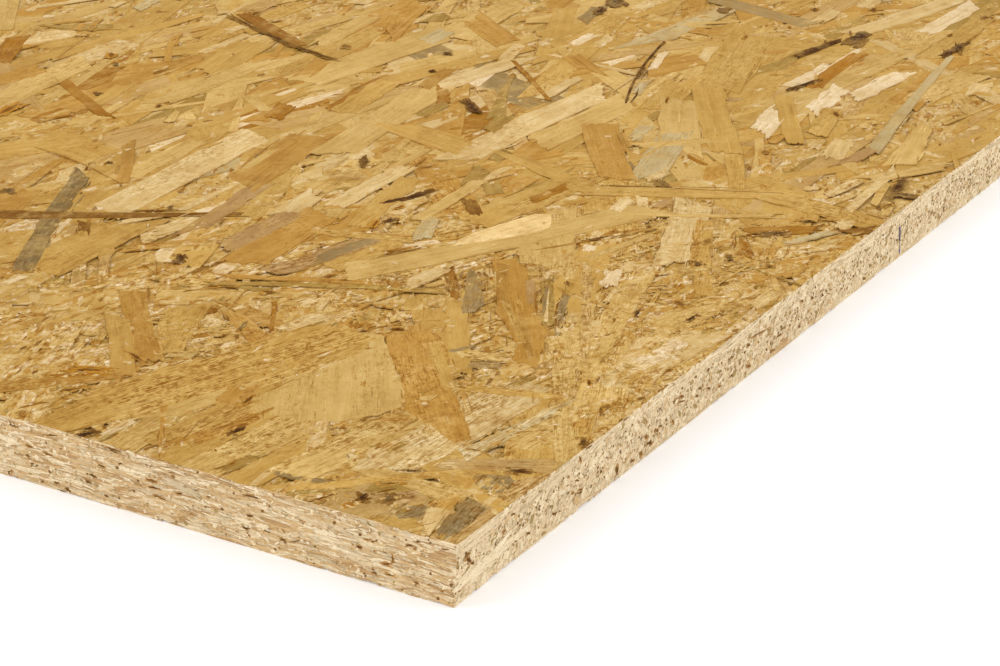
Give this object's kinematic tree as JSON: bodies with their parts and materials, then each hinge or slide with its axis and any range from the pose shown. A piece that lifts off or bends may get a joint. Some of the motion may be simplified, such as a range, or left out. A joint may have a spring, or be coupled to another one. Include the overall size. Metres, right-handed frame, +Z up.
{
  "type": "osb panel",
  "caption": "Flat rectangular sheet of oriented strand board with square sawn edges and faces of overlapping pressed wood strands.",
  "frame": {"origin": "centre of the underside, which lies on the floor", "axes": "+X along the sheet, the way its face strands run; +Y across it; +Z up through its thickness"},
  "size_m": [2.44, 1.22, 0.018],
  "materials": {
    "osb": "pressed strands with a thin satin resin skin, bare and matt on the sawn edges"
  },
  "bodies": {
    "root": {"osb_panel": "osb"}
  },
  "joints": []
}
